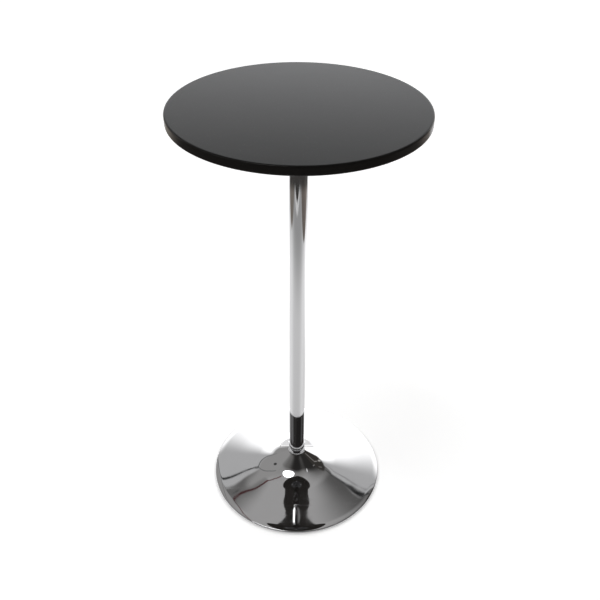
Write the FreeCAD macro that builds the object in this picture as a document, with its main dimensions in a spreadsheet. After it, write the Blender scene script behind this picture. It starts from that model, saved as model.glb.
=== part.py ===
"""Round pub table: a black disc top on one chromed column and a spun trumpet base.

Millimetres, +Z up.  The origin is on the floor, at the middle of the column.
One tie rod through the column clamps the whole table: it screws into the hub of
the mounting dish under the top, and a nut under the base pan pulls it tight.
"""
import FreeCAD, Part

import enum
import math
import os

import Sketcher

# Driving dimensions, in millimetres and degrees.  Each becomes a cell of the sheet.
SIZES = {
    # table top
    "table_height": 1000.0,
    "top_diameter": 508.0,
    "top_thickness": 18.0,
    "top_upper_round": 6.0,
    "top_lower_round": 3.0,
    # mounting dish pressed from sheet, and its fixings into the top
    "dish_diameter": 200.0,
    "dish_sheet": 2.5,
    "dish_depth": 12.0,
    "dish_floor_diameter": 90.0,
    "dish_wall_angle": 36.0,
    "press_bend_radius": 3.0,
    "dish_bolt_circle": 164.0,
    "dish_screw_count": 4,
    "dish_screw_diameter": 6.0,
    "dish_screw_head_diameter": 11.0,
    "dish_screw_head_height": 3.3,
    "dish_screw_key": 4.0,
    "dish_screw_key_depth": 2.0,
    "dish_washer_diameter": 13.0,
    "dish_washer_thickness": 1.2,
    "insert_diameter": 9.5,
    "insert_cover": 5.0,
    "insert_drill_spare": 1.0,
    "insert_screw_spare": 2.0,
    # column, and the hub welded into the dish
    "column_diameter": 38.1,
    "column_wall": 1.5,
    "slip_clearance": 0.1,
    "bolt_clearance": 0.5,
    "dish_hub_length": 45.0,
    "dish_hub_tenon_diameter": 24.0,
    # tie rod and its nuts and washers
    "rod_diameter": 10.0,
    "thread_clearance": 0.05,
    "rod_grip": 28.0,
    "rod_hole_spare": 3.0,
    "rod_tail": 2.0,
    "rod_point_chamfer": 1.0,
    "rod_floor_gap": 5.0,
    "nut_flats": 16.0,
    "nut_height": 8.0,
    "lock_nut_height": 6.0,
    "nut_chamfer_angle": 30.0,
    "rod_washer_diameter": 30.0,
    "rod_washer_thickness": 2.5,
    "spring_washer_diameter": 18.0,
    "spring_washer_thickness": 2.2,
    "spring_washer_gap": 12.0,
    # collar between the column and the neck of the base
    "collar_height": 8.5,
    "collar_proud": 0.95,
    "collar_shoulder": 6.0,
    "collar_top_step": 0.1,
    "collar_chamfer": 0.4,
    # spun shell of the base
    "base_diameter": 430.0,
    "shell_wall": 1.2,
    "neck_proud": 0.25,
    "neck_length": 9.2,
    "neck_bend_radius": 7.0,
    "cone_angle": 32.5,
    "cone_width": 28.0,
    "flare_radius": 155.0,
    "flare_foot_angle": 11.4,
    "apron_radius": 1040.0,
    "skirt_angle": 7.2,
    "rim_shoulder_radius": 66.0,
    "rim_shoulder_angle": 20.0,
    "rim_nose_radius": 2.8,
    "hem_inner_radius": 0.4,
    "hem_width": 14.0,
    # pan, ballast, hub and floor ring under the shell
    "pan_sheet": 1.2,
    "pan_edge_gap": 1.5,
    "pan_hat_diameter": 84.0,
    "pan_wall_angle": 55.0,
    "ballast_thickness": 5.0,
    "ballast_rim_gap": 35.0,
    "ballast_hat_gap": 8.0,
    "ballast_edge_chamfer": 1.5,
    "ballast_bolt_circle": 240.0,
    "ballast_screw_count": 4,
    "ballast_screw_diameter": 6.0,
    "ballast_screw_spare": 0.5,
    "ballast_screw_head_diameter": 12.0,
    "ballast_screw_head_height": 1.9,
    "hub_foot_diameter": 64.0,
    "hub_foot_thickness": 6.0,
    "hub_foot_fillet": 5.0,
    "hub_spigot_length": 40.0,
    "spigot_chamfer": 2.0,
    "floor_ring_thickness": 1.5,
    "floor_ring_setback": 1.6,
    "floor_ring_lip": 4.0,
    "floor_ring_fit": 0.1,
}

PARTS_FOLDER = "parts"
FULL_TURN = 360.0
HEX_SIDES = 6
CUT_MARGIN = 1.0  # how far a cutting section runs out past the stock


class Size:
    """A length or angle, held as a number and as the sheet expression that gives it."""

    def __init__(self, value, text):
        self.value = float(value)
        self.text = text

    def __add__(self, other):
        other = as_size(other)
        return Size(self.value + other.value, "(%s + %s)" % (self.text, other.text))

    def __sub__(self, other):
        other = as_size(other)
        return Size(self.value - other.value, "(%s - %s)" % (self.text, other.text))

    def __mul__(self, other):
        other = as_size(other)
        return Size(self.value * other.value, "(%s * %s)" % (self.text, other.text))

    def __truediv__(self, other):
        other = as_size(other)
        return Size(self.value / other.value, "(%s / %s)" % (self.text, other.text))


def as_size(thing):
    """Let plain numbers stand in a sum of sizes."""
    if isinstance(thing, Size):
        return thing
    return Size(thing, "%.9f" % thing if thing >= 0 else "(0 - %.9f)" % -thing)


def sine(angle):
    return Size(math.sin(math.radians(angle.value)), "sin(%s)" % angle.text)


def cosine(angle):
    return Size(math.cos(math.radians(angle.value)), "cos(%s)" % angle.text)


def tangent(angle):
    return Size(math.tan(math.radians(angle.value)), "tan(%s)" % angle.text)


def sheet_sizes(doc):
    """Fill the sheet with the driving dimensions and hand them back by name."""
    sheet = doc.addObject("Spreadsheet::Sheet", "Sizes")
    for row, (name, value) in enumerate(SIZES.items(), start=1):
        sheet.set("A%d" % row, name)
        sheet.set("B%d" % row, str(value))
        sheet.setAlias("B%d" % row, name)
    doc.recompute()
    return {name: Size(sheet.get(name), "Sizes.%s" % name) for name in SIZES}


# ---------------------------------------------------------------- sketching

class Axis(enum.IntEnum):
    """How a sketch numbers its own axes."""

    X = -1
    Y = -2


class Point(enum.IntEnum):
    """How a sketch numbers the points of a line, arc or circle."""

    START = 1
    END = 2
    MIDDLE = 3


ORIGIN_POINT = (Axis.X, Point.START)


def new_body(doc, label):
    """A body whose label names the piece and its file."""
    body = doc.addObject("PartDesign::Body", label)
    body.Label = label
    body.AllowCompound = True
    return body


def origin_feature(body, role):
    for feature in body.Origin.OriginFeatures:
        if feature.Role == role:
            return feature
    raise ValueError("no %s in %s" % (role, body.Label))


def new_sketch(body, name, plane, level=None):
    """A sketch on one of the body's own planes, lifted along its normal to a bound level."""
    sketch = body.newObject("Sketcher::SketchObject", "%s_%s" % (body.Name, name))
    sketch.AttachmentSupport = (origin_feature(body, plane), [""])
    sketch.MapMode = "FlatFace"
    if level is not None:
        sketch.AttachmentOffset = FreeCAD.Placement(
            FreeCAD.Vector(0, 0, level.value), FreeCAD.Rotation())
        sketch.setExpression("AttachmentOffset.Base.z", level.text)
    return sketch


def pin(sketch, point, kind, size, name):
    """Hold one coordinate of a point at a bound size, or on the axis where it is nil."""
    if size.value == 0:
        axis = Axis.Y if kind == "DistanceX" else Axis.X
        sketch.addConstraint(Sketcher.Constraint("PointOnObject", *point, axis))
        return
    index = sketch.addConstraint(
        Sketcher.Constraint(kind, *ORIGIN_POINT, *point, size.value))
    sketch.renameConstraint(index, name)
    sketch.setExpression("Constraints.%s" % name, size.text)


def pin_both(sketch, point, across, up, name):
    pin(sketch, point, "DistanceX", across, "%s_across" % name)
    pin(sketch, point, "DistanceY", up, "%s_up" % name)


def arc_about(middle, start, end, clockwise):
    """Arc about a middle from start to end."""
    first, last = (end, start) if clockwise else (start, end)
    angles = [math.atan2(p.y - middle.y, p.x - middle.x) for p in (first, last)]
    radius = (start - middle).Length
    circle = Part.Circle(middle, FreeCAD.Vector(0, 0, 1), radius)
    return Part.ArcOfCircle(circle, angles[0], angles[1])


def draw_outline(sketch, corners, bends=None):
    """Close a chain of corners, each bound to the sheet.

    corners holds (across, up) pairs.  bends maps the number of the corner where a
    round stretch begins to its middle and its turn, as (across, up, clockwise); the
    other stretches are straight.
    """
    bends = bends or {}
    corners = [(as_size(across), as_size(up)) for across, up in corners]
    points = [FreeCAD.Vector(across.value, up.value, 0) for across, up in corners]
    starts, ends = [], []
    for number, start in enumerate(points):
        end = points[(number + 1) % len(points)]
        if number in bends:
            across, up, clockwise = bends[number]
            middle = FreeCAD.Vector(across.value, up.value, 0)
            stretch = sketch.addGeometry(arc_about(middle, start, end, clockwise))
            starts.append((stretch, Point.END if clockwise else Point.START))
            ends.append((stretch, Point.START if clockwise else Point.END))
        else:
            stretch = sketch.addGeometry(Part.LineSegment(start, end))
            starts.append((stretch, Point.START))
            ends.append((stretch, Point.END))
    for number, corner in enumerate(starts):
        sketch.addConstraint(Sketcher.Constraint("Coincident", *ends[number - 1], *corner))
        pin_both(sketch, corner, *corners[number], "corner%d" % number)
    for number, (across, up, _) in bends.items():
        # The ends are pinned, so one coordinate of the middle is enough: the one that
        # moves most as the middle slides along the chord's bisector.
        chord = points[(number + 1) % len(points)] - points[number]
        middle = (starts[number][0], Point.MIDDLE)
        if abs(chord.y) > abs(chord.x):
            pin(sketch, middle, "DistanceX", across, "bend%d_across" % number)
        else:
            pin(sketch, middle, "DistanceY", up, "bend%d_up" % number)


def draw_circle(sketch, radius, across=0, name="circle"):
    """Circle on the sketch's x axis, with bound radius and place."""
    across = as_size(across)
    circle = sketch.addGeometry(Part.Circle(
        FreeCAD.Vector(across.value, 0, 0), FreeCAD.Vector(0, 0, 1), radius.value))
    pin_both(sketch, (circle, Point.MIDDLE), across, as_size(0), name)
    index = sketch.addConstraint(Sketcher.Constraint("Radius", circle, radius.value))
    sketch.renameConstraint(index, "%s_radius" % name)
    sketch.setExpression("Constraints.%s_radius" % name, radius.text)


def draw_hexagon(sketch, flats, across=0):
    """Hexagon of a bound width across its flats, on the sketch's x axis."""
    corner_radius = flats / math.sqrt(3)
    corners = []
    for side in range(HEX_SIDES):
        turn = 2 * math.pi * side / HEX_SIDES
        corners.append((corner_radius * round(math.cos(turn), 9) + across,
                        corner_radius * round(math.sin(turn), 9)))
    draw_outline(sketch, corners)


def draw_rectangle(sketch, inner, outer, low, high):
    draw_outline(sketch, [(inner, low), (outer, low), (outer, high), (inner, high)])


# ---------------------------------------------------------------- features

def add_feature(body, kind, name, sketch):
    feature = body.newObject("PartDesign::%s" % kind, "%s_%s" % (body.Name, name))
    feature.Profile = sketch
    sketch.Visibility = False
    return feature


def revolve(body, name, sketch, angle=None):
    """Turn a half section about the piece's upright axis."""
    feature = add_feature(body, "Revolution", name, sketch)
    feature.ReferenceAxis = (sketch, ["V_Axis"])
    feature.Angle = FULL_TURN
    if angle is not None:
        feature.setExpression("Angle", angle.text)
    return feature


def pad(body, name, sketch, length):
    feature = add_feature(body, "Pad", name, sketch)
    feature.setExpression("Length", length.text)
    return feature


def cut_and_check(body, feature):
    """Recompute a cut and make sure that it took material away."""
    before = feature.BaseFeature.Shape.Volume
    body.Document.recompute()
    if feature.Shape.isNull() or feature.Shape.Volume >= before:
        raise RuntimeError("%s cuts nothing" % feature.Name)
    return feature


def pocket_up(body, name, sketch, depth):
    """Cut from the sketch towards +Z."""
    feature = add_feature(body, "Pocket", name, sketch)
    feature.Reversed = True
    feature.setExpression("Length", depth.text)
    return cut_and_check(body, feature)


def groove(body, name, sketch):
    feature = add_feature(body, "Groove", name, sketch)
    feature.ReferenceAxis = (sketch, ["V_Axis"])
    feature.Angle = FULL_TURN
    return cut_and_check(body, feature)


def repeat_round(body, name, features, count):
    """Repeat features round the upright axis."""
    pattern = body.newObject("PartDesign::PolarPattern", "%s_%s" % (body.Name, name))
    pattern.Originals = features
    pattern.Axis = (origin_feature(body, "Z_Axis"), [""])
    pattern.Angle = FULL_TURN
    pattern.setExpression("Occurrences", count.text)
    body.Tip = pattern
    return pattern


# ---------------------------------------------------------------- standard pieces

def ring(doc, label, inner, outer, low, high, angle=None):
    """Plain turned ring about the upright axis."""
    body = new_body(doc, label)
    sketch = new_sketch(body, "section", "XZ_Plane")
    draw_rectangle(sketch, inner, outer, low, high)
    revolve(body, "turned", sketch, angle)
    return body


def ring_set(doc, label, circle_radius, count, bore, diameter, low, height):
    """Equal rings, each about its own place on a bolt circle."""
    body = new_body(doc, label)
    sketch = new_sketch(body, "face", "XY_Plane", low)
    draw_circle(sketch, diameter / 2, circle_radius, "outside")
    draw_circle(sketch, bore / 2, circle_radius, "bore")
    one = pad(body, "one", sketch, height)
    repeat_round(body, "set", [one], count)
    return body


def screw_set(doc, label, circle_radius, count, seat, head, shank, key=None):
    """Screws standing head down on a bolt circle.

    seat is the level under the heads; head and shank are (diameter, length) pairs.
    key is the (width, depth) of the hexagon socket, where the screws have one.
    """
    body = new_body(doc, label)
    head_sketch = new_sketch(body, "head", "XY_Plane", seat - head[1])
    draw_circle(head_sketch, head[0] / 2, circle_radius)
    made = [pad(body, "head_disc", head_sketch, head[1])]
    shank_sketch = new_sketch(body, "shank", "XY_Plane", seat - head[1])
    draw_circle(shank_sketch, shank[0] / 2, circle_radius)
    made.append(pad(body, "shank_rod", shank_sketch, shank[1] + head[1]))
    doc.recompute()
    if key is not None:
        socket_sketch = new_sketch(body, "socket", "XY_Plane", seat - head[1])
        draw_hexagon(socket_sketch, key[0], circle_radius)
        made.append(pocket_up(body, "socket_hex", socket_sketch, key[1]))
    repeat_round(body, "set", made, count)
    return body


def hex_nut(doc, s, z, label, low, height):
    """Hexagon nut for the tie rod, its corners turned off at both ends."""
    body = new_body(doc, label)
    flats, slope = s["nut_flats"], tangent(s["nut_chamfer_angle"])
    plan = new_sketch(body, "plan", "XY_Plane", low)
    draw_hexagon(plan, flats)
    draw_circle(plan, z["rod_thread_radius"], 0, "bore")
    pad(body, "blank", plan, height)
    doc.recompute()
    clear_radius = flats / math.sqrt(3) + CUT_MARGIN
    clear_drop = (clear_radius - flats / 2) * slope
    for name, end, inner_end in (("lower", low, low + clear_drop),
                                 ("upper", low + height, low + height - clear_drop)):
        section = new_sketch(body, "%s_section" % name, "XZ_Plane")
        draw_outline(section, [(flats / 2, end), (clear_radius, end),
                               (clear_radius, inner_end)])
        groove(body, "%s_chamfer" % name, section)
    return body


# ---------------------------------------------------------------- the table

LEVEL = as_size(0)
UPRIGHT = as_size(90)
UNDERSIDE = as_size(180)


class Layout(dict):
    """Worked-out heights and radii that pieces share.

    Each size that is stored also becomes a property of the document, worked out from
    the sheet, and features bind to that property by its name.
    """

    def __init__(self, doc):
        super().__init__()
        self.store = doc.addObject("App::VarSet", "Layout")

    def __setitem__(self, name, size):
        self.store.addProperty("App::PropertyFloat", name, "Layout")
        self.store.setExpression(name, size.text)
        super().__setitem__(name, Size(size.value, "Layout.%s" % name))


class SheetLine:
    """Upper line of a formed sheet, walked stretch by stretch out from the middle.

    Slopes are measured down from level: 90 runs straight down, 180 back inwards.
    """

    def __init__(self, layout, name, across, up, slope):
        self.layout = layout
        self.name = name
        self.points = []
        self.bends = {}
        self.add_point(across, up, slope)

    def add_point(self, across, up, slope):
        """Store a point of the line and the slope there."""
        place = []
        for axis, size in (("across", across), ("up", up)):
            key = "%s_%d_%s" % (self.name, len(self.points), axis)
            self.layout[key] = size
            place.append(self.layout[key])
        self.points.append((place[0], place[1], slope))

    def step(self, across, up, slope):
        last_across, last_up, _ = self.points[-1]
        self.add_point(last_across + across, last_up + up, slope)

    def down(self, length):
        self.step(as_size(0), as_size(0) - length, UPRIGHT)

    def out(self, width):
        """Go straight on at the present slope, over a width."""
        slope = self.points[-1][2]
        self.step(width, as_size(0) - width * tangent(slope), slope)

    def back(self, width):
        self.step(as_size(0) - width, as_size(0), UNDERSIDE)

    def bend(self, radius, slope, hollow=False):
        """Turn to a new slope.  A hollow bend has its middle above the sheet."""
        across, up, start = self.points[-1]
        reach = bend_reach(radius, start, slope)
        rise = bend_rise(radius, start, slope)
        side, lift = radius * sine(start), radius * cosine(start)
        if hollow:
            self.bends[len(self.points) - 1] = (across + side, up + lift, hollow)
            self.step(as_size(0) - reach, as_size(0) - rise, slope)
        else:
            self.bends[len(self.points) - 1] = (across - side, up - lift, hollow)
            self.step(reach, rise, slope)

    def section(self, sheet, lift=LEVEL):
        """Corners and bends of the closed section: out along the top, back underneath."""
        corners = [(across, up + lift) for across, up, _ in self.points]
        for across, up, slope in reversed(self.points):
            corners.append((across - sheet * sine(slope), up + lift - sheet * cosine(slope)))
        bends = {}
        for number, (across, up, hollow) in self.bends.items():
            bends[number] = (across, up + lift, not hollow)
            bends[len(corners) - 2 - number] = (across, up + lift, hollow)
        return corners, bends


def bend_reach(radius, start, end):
    return radius * (sine(end) - sine(start))


def bend_rise(radius, start, end):
    return radius * (cosine(end) - cosine(start))


def shell_line(s, z):
    """Neck, flare, apron, straight skirt, rim and hem, measured from the neck's top."""
    rim_reach = (bend_reach(s["rim_shoulder_radius"], s["skirt_angle"],
                            s["rim_shoulder_angle"])
                 + bend_reach(s["rim_nose_radius"], s["rim_shoulder_angle"], UPRIGHT))
    hem_radius = s["hem_inner_radius"] + s["shell_wall"]
    line = SheetLine(z, "shell", z["neck_radius"], as_size(0), UPRIGHT)
    line.down(s["neck_length"])
    line.bend(s["neck_bend_radius"], s["cone_angle"], hollow=True)
    line.out(s["cone_width"])
    line.bend(s["flare_radius"], s["flare_foot_angle"], hollow=True)
    line.bend(s["apron_radius"], s["skirt_angle"], hollow=True)
    line.out(z["rim_radius"] - rim_reach - line.points[-1][0])
    line.bend(s["rim_shoulder_radius"], s["rim_shoulder_angle"])
    line.bend(s["rim_nose_radius"], UPRIGHT)
    line.bend(hem_radius, UNDERSIDE)
    line.back(s["hem_width"] - hem_radius)
    return line


def lay_out(doc, s):
    """Work out the shared sizes, from the top down and from the floor up."""
    z = Layout(doc)
    z["column_radius"] = s["column_diameter"] / 2
    z["bore_radius"] = z["column_radius"] - s["column_wall"]
    z["spigot_radius"] = z["bore_radius"] - s["slip_clearance"]
    z["rod_radius"] = s["rod_diameter"] / 2
    z["rod_hole_radius"] = z["rod_radius"] + s["bolt_clearance"]
    z["rod_thread_radius"] = z["rod_radius"] + s["thread_clearance"]

    z["top_under"] = s["table_height"] - s["top_thickness"]
    z["insert_hole"] = s["top_thickness"] - s["insert_cover"]
    z["insert_length"] = z["insert_hole"] - s["insert_drill_spare"]
    z["brim_under"] = z["top_under"] - s["dish_sheet"]
    z["screw_seat"] = z["brim_under"] - s["dish_washer_thickness"]
    z["dish_floor_over"] = z["top_under"] - s["dish_depth"]
    z["dish_floor_under"] = z["dish_floor_over"] - s["dish_sheet"]
    z["dish_hub_under"] = z["dish_floor_under"] - s["dish_hub_length"]
    z["rod_head"] = z["dish_hub_under"] + s["rod_grip"]

    z["rim_radius"] = s["base_diameter"] / 2
    z["hem_over"] = s["floor_ring_thickness"] + s["shell_wall"]
    z["pan_over"] = z["hem_over"] + s["pan_sheet"]
    z["rod_foot"] = s["rod_floor_gap"]
    z["nut_under"] = z["rod_foot"] + s["rod_tail"]
    z["spring_under"] = z["nut_under"] + s["nut_height"]
    z["washer_under"] = z["spring_under"] + s["spring_washer_thickness"]
    z["hat_under"] = z["washer_under"] + s["rod_washer_thickness"]
    z["hat_over"] = z["hat_under"] + s["pan_sheet"]

    z["neck_radius"] = z["column_radius"] + s["neck_proud"]
    shell = shell_line(s, z)
    z["neck_top"] = s["floor_ring_thickness"] - shell.points[-1][1]
    z["column_foot"] = z["neck_top"] + s["collar_height"]
    doc.recompute()
    return z, shell


def pressed_line(s, z, name, hole, flat, edge, levels, wall_angle, sheet):
    """Line of a pressed sheet: flat middle, sloping wall and flat brim.

    flat is the radius where the middle ends.  levels are the upper sides of the middle
    and the brim; the wall falls to the brim, or rises to it where the brim is higher.
    """
    middle, brim = levels
    rising = brim.value > middle.value
    tight, wide = s["press_bend_radius"], s["press_bend_radius"] + sheet
    height = brim - middle if rising else middle - brim
    slope = LEVEL - wall_angle if rising else wall_angle
    bend_height = (tight + wide) * (as_size(1) - cosine(wall_angle))
    line = SheetLine(z, name, hole, middle, LEVEL)
    line.out(flat - hole)
    line.bend(tight if rising else wide, slope, hollow=rising)
    line.out((height - bend_height) / tangent(wall_angle))
    line.bend(wide if rising else tight, LEVEL, hollow=not rising)
    line.out(edge - line.points[-1][0])
    return line


def drill_circle(body, name, radius, circle_radius, low, depth, count):
    """Drill equal holes upwards from a level, on a bolt circle."""
    plan = new_sketch(body, name, "XY_Plane", low)
    draw_circle(plan, radius, circle_radius)
    body.Document.recompute()
    first = pocket_up(body, "%s_first" % name, plan, depth)
    repeat_round(body, "%s_all" % name, [first], count)


def turned(doc, label, corners, bends=None):
    """Piece made by turning one closed half section."""
    body = new_body(doc, label)
    section = new_sketch(body, "section", "XZ_Plane")
    draw_outline(section, corners, bends)
    revolve(body, "turned", section)
    return body


def table_top(doc, s, z):
    """Lacquered board: eased edge above, smaller round below, blind holes for inserts."""
    radius = s["top_diameter"] / 2
    above, below = s["top_upper_round"], s["top_lower_round"]
    under, over = z["top_under"], s["table_height"]
    body = turned(doc, "table_top", [
        (0, under), (radius - below, under), (radius, under + below),
        (radius, over - above), (radius - above, over), (0, over)],
        {1: (radius - below, under + below, False),
         3: (radius - above, over - above, False)})
    drill_circle(body, "insert_hole", s["insert_diameter"] / 2, s["dish_bolt_circle"] / 2,
                 under, z["insert_hole"], s["dish_screw_count"])
    return [body]


def mounting_dish(doc, s, z):
    """Pressed steel dish screwed under the top; the column seats against its floor."""
    sheet = s["dish_sheet"]
    line = pressed_line(s, z, "dish", s["dish_hub_tenon_diameter"] / 2,
                        s["dish_floor_diameter"] / 2, s["dish_diameter"] / 2,
                        (z["dish_floor_over"], z["top_under"]), s["dish_wall_angle"], sheet)
    body = turned(doc, "mounting_dish", *line.section(sheet))
    drill_circle(body, "screw_hole", s["dish_screw_diameter"] / 2 + s["bolt_clearance"],
                 s["dish_bolt_circle"] / 2, z["brim_under"], sheet, s["dish_screw_count"])
    return [body]


def dish_hub(doc, s, z):
    """Turned spigot welded into the dish; it fills the column's bore and takes the rod."""
    tenon = s["dish_hub_tenon_diameter"] / 2
    thread, spigot, lead = z["rod_thread_radius"], z["spigot_radius"], s["spigot_chamfer"]
    low, shoulder, high = z["dish_hub_under"], z["dish_floor_under"], z["dish_floor_over"]
    hole_top = z["rod_head"] + s["rod_hole_spare"]
    return [turned(doc, "dish_hub", [
        (thread, low), (spigot - lead, low), (spigot, low + lead), (spigot, shoulder),
        (tenon, shoulder), (tenon, high), (0, high), (0, hole_top), (thread, hole_top)])]


def dish_fixings(doc, s, z):
    """Threaded inserts in the top, and the washers and screws that hold the dish."""
    circle = s["dish_bolt_circle"] / 2
    count = s["dish_screw_count"]
    thread = s["dish_screw_diameter"] + s["thread_clearance"] * 2
    hole = s["dish_screw_diameter"] + s["bolt_clearance"]
    head = (s["dish_screw_head_diameter"], s["dish_screw_head_height"])
    grip = z["insert_length"] - s["insert_screw_spare"]
    shank = (s["dish_screw_diameter"], s["dish_washer_thickness"] + s["dish_sheet"] + grip)
    return [
        ring_set(doc, "top_inserts", circle, count, thread, s["insert_diameter"],
                 z["top_under"], z["insert_length"]),
        ring_set(doc, "dish_washers", circle, count, hole, s["dish_washer_diameter"],
                 z["screw_seat"], s["dish_washer_thickness"]),
        screw_set(doc, "dish_screws", circle, count, z["screw_seat"], head, shank,
                  (s["dish_screw_key"], s["dish_screw_key_depth"])),
    ]


def column_tube(doc, s, z):
    """Chromed tube from the collar up to the floor of the dish."""
    body = new_body(doc, "column_tube")
    plan = new_sketch(body, "section", "XY_Plane", z["column_foot"])
    draw_circle(plan, z["column_radius"], 0, "outside")
    draw_circle(plan, z["bore_radius"], 0, "bore")
    pad(body, "tube", plan, z["dish_floor_under"] - z["column_foot"])
    return [body]


def tie_rod(doc, s, z):
    """Threaded rod from the dish hub down through the base, its ends pointed."""
    radius, point = z["rod_radius"], s["rod_point_chamfer"]
    foot, head = z["rod_foot"], z["rod_head"]
    return [turned(doc, "tie_rod", [
        (0, foot), (radius - point, foot), (radius, foot + point),
        (radius, head - point), (radius - point, head), (0, head)])]


def rod_hardware(doc, s, z):
    """Lock nut under the dish hub, and washer, spring washer and nut under the pan."""
    lock_under = z["dish_hub_under"] - s["lock_nut_height"]
    return [
        hex_nut(doc, s, z, "rod_lock_nut", lock_under, s["lock_nut_height"]),
        ring(doc, "rod_washer", z["rod_hole_radius"], s["rod_washer_diameter"] / 2,
             z["washer_under"], z["hat_under"]),
        ring(doc, "rod_spring_washer", z["rod_radius"] + s["slip_clearance"],
             s["spring_washer_diameter"] / 2, z["spring_under"], z["washer_under"],
             as_size(FULL_TURN) - s["spring_washer_gap"]),
        hex_nut(doc, s, z, "rod_nut", z["nut_under"], s["nut_height"]),
    ]


def neck_collar(doc, s, z):
    """Trim ring with a soft shoulder, on the hub between the column and the neck."""
    low, high = z["neck_top"], z["column_foot"]
    inner = z["bore_radius"]
    top_radius = z["column_radius"] + s["collar_top_step"]
    full_radius = z["column_radius"] + s["collar_proud"]
    swell, drop = full_radius - top_radius, s["collar_shoulder"]
    # The shoulder leaves the upright side tangent to it, so its middle is level with there.
    shoulder_radius = (drop * drop + swell * swell) / (swell * 2)
    chamfer = s["collar_chamfer"]
    return [turned(doc, "neck_collar", [
        (inner, low), (full_radius - chamfer, low), (full_radius, low + chamfer),
        (full_radius, high - drop), (top_radius, high), (inner, high)],
        {3: (full_radius - shoulder_radius, high - drop, False)})]


def base_shell(doc, s, z, shell):
    """Spun trumpet: neck, flare, shallow skirt, rolled rim and hem turned in below."""
    return [turned(doc, "base_shell", *shell.section(s["shell_wall"], z["neck_top"]))]


def base_hub(doc, s, z):
    """Turned post: foot on the pan, body in the neck, shoulder for the collar, spigot."""
    bore, spigot, lead = z["rod_hole_radius"], z["spigot_radius"], s["spigot_chamfer"]
    foot_radius = s["hub_foot_diameter"] / 2
    foot_top = z["hat_over"] + s["hub_foot_thickness"]
    post = z["neck_radius"] - s["shell_wall"] - s["slip_clearance"]
    fillet = s["hub_foot_fillet"]
    top = z["column_foot"] + s["hub_spigot_length"]
    return [turned(doc, "base_hub", [
        (bore, z["hat_over"]), (foot_radius, z["hat_over"]), (foot_radius, foot_top),
        (post + fillet, foot_top), (post, foot_top + fillet), (post, z["neck_top"]),
        (spigot, z["neck_top"]), (spigot, top - lead), (spigot - lead, top), (bore, top)],
        {3: (post + fillet, foot_top + fillet, True)})]


def base_pan(doc, s, z):
    """Pressed pan welded on the hem, with a raised hat that carries the hub."""
    sheet = s["pan_sheet"]
    edge = z["rim_radius"] - s["shell_wall"] - s["pan_edge_gap"]
    line = pressed_line(s, z, "pan", z["rod_hole_radius"], s["pan_hat_diameter"] / 2, edge,
                        (z["hat_over"], z["pan_over"]), s["pan_wall_angle"], sheet)
    z["pan_hat_foot_radius"] = line.points[-2][0]
    body = turned(doc, "base_pan", *line.section(sheet))
    drill_circle(body, "screw_hole", s["ballast_screw_diameter"] / 2 + s["bolt_clearance"],
                 s["ballast_bolt_circle"] / 2, z["hem_over"], sheet,
                 s["ballast_screw_count"])
    return [body]


def ballast_ring(doc, s, z):
    """Cast iron weight lying on the pan, tapped for the screws that come from below."""
    inner = z["pan_hat_foot_radius"] + s["ballast_hat_gap"]
    outer = z["rim_radius"] - s["ballast_rim_gap"]
    low, high = z["pan_over"], z["pan_over"] + s["ballast_thickness"]
    chamfer = s["ballast_edge_chamfer"]
    body = turned(doc, "ballast_ring", [
        (inner, low), (outer, low), (outer, high - chamfer), (outer - chamfer, high),
        (inner + chamfer, high), (inner, high - chamfer)])
    drill_circle(body, "tapped_hole", s["ballast_screw_diameter"] / 2 + s["thread_clearance"],
                 s["ballast_bolt_circle"] / 2, low, s["ballast_thickness"],
                 s["ballast_screw_count"])
    return [body]


def ballast_screws(doc, s, z):
    """Low-headed screws through the pan into the ballast ring."""
    head = (s["ballast_screw_head_diameter"], s["ballast_screw_head_height"])
    shank = (s["ballast_screw_diameter"],
             s["pan_sheet"] + s["ballast_thickness"] - s["ballast_screw_spare"])
    return [screw_set(doc, "ballast_screws", s["ballast_bolt_circle"] / 2,
                      s["ballast_screw_count"], z["hem_over"], head, shank)]


def floor_ring(doc, s, z):
    """Rubber ring under the hem, with a lip that hooks up inside it."""
    outer = z["rim_radius"] - s["floor_ring_setback"]
    hook = z["rim_radius"] - s["hem_width"] - s["floor_ring_fit"]
    inner = hook - s["floor_ring_lip"]
    under, lip_top = s["floor_ring_thickness"], z["hem_over"]
    return [turned(doc, "floor_ring", [
        (inner, 0), (outer, 0), (outer, under), (hook, under), (hook, lip_top),
        (inner, lip_top)])]


# ---------------------------------------------------------------- checks and files

def check(doc, bodies):
    """Stop if any object failed, or any piece is null, invalid or not solid."""
    for item in doc.Objects:
        if "Invalid" in item.State or "Error" in item.State:
            raise RuntimeError("%s failed: %s" % (item.Name, item.State))
    for body in bodies:
        shape = body.Shape
        if shape.isNull() or not shape.isValid() or not shape.Solids:
            raise RuntimeError("%s has no valid solid" % body.Label)


PIECES = (
    table_top, mounting_dish, dish_hub, dish_fixings, column_tube, tie_rod, rod_hardware,
    neck_collar, base_hub, base_pan, ballast_ring, ballast_screws, floor_ring,
)


def main():
    doc = FreeCAD.newDocument("pub_table")
    sizes = sheet_sizes(doc)
    layout, shell = lay_out(doc, sizes)
    bodies = base_shell(doc, sizes, layout, shell)
    for make in PIECES:
        bodies += make(doc, sizes, layout)
    doc.recompute()
    check(doc, bodies)
    os.makedirs(PARTS_FOLDER, exist_ok=True)
    for body in bodies:
        body.Shape.exportStep(os.path.join(PARTS_FOLDER, body.Label + ".step"))
        print("%-18s %d solids  %.0f mm3" % (
            body.Label, len(body.Shape.Solids), body.Shape.Volume))


main()
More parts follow.
